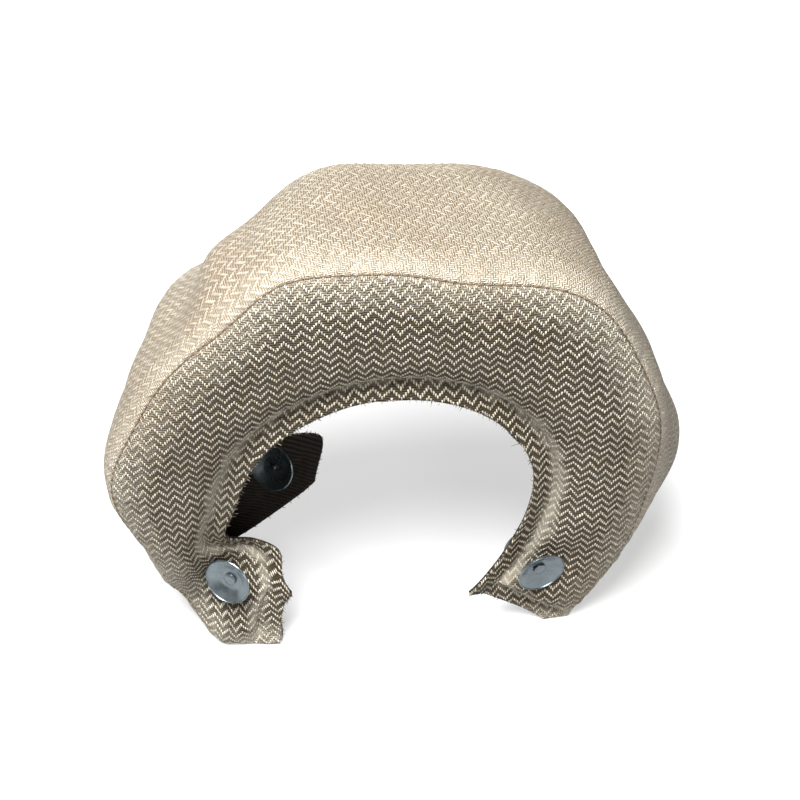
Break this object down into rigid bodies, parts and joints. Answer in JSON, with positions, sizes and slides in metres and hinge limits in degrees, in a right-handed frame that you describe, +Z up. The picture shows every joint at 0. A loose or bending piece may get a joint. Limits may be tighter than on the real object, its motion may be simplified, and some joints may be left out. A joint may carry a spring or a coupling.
{
  "type": "turbo heat blanket",
  "caption": "Quilted horseshoe heat blanket that wraps a turbine housing, with a rim band, two ring panels and lacing anchors at its ends.",
  "frame": {"origin": "under the middle of the blanket, on the surface that its two ends stand on", "axes": "+X across the blanket to the right as seen from the front panel, +Y along the ring's axis away from the viewer, +Z up"},
  "size_m": [0.24, 0.094, 0.1945],
  "materials": {
    "outer_cloth": "coarse zigzag weave of flat mineral fibre yarn, matt",
    "insulation": "needled mineral fibre mat, matt white",
    "liner_cloth": "dark ribbed high temperature cloth, matt",
    "anchor_steel": "blue grey zinc plated steel, satin"
  },
  "bodies": {
    "root": {"front_cover": "outer_cloth", "front_insulation": "insulation", "front_liner": "liner_cloth", "band_cover": "outer_cloth", "band_insulation": "insulation", "band_liner": "liner_cloth", "rear_cover": "outer_cloth", "rear_insulation": "insulation", "rear_liner": "liner_cloth", "front_left_outer_washer": "anchor_steel", "front_left_pin": "anchor_steel", "front_left_inner_washer": "anchor_steel", "front_right_outer_washer": "anchor_steel", "front_right_pin": "anchor_steel", "front_right_inner_washer": "anchor_steel", "rear_left_outer_washer": "anchor_steel", "rear_left_pin": "anchor_steel", "rear_left_inner_washer": "anchor_steel", "rear_right_outer_washer": "anchor_steel", "rear_right_pin": "anchor_steel", "rear_right_inner_washer": "anchor_steel"}
  },
  "joints": []
}
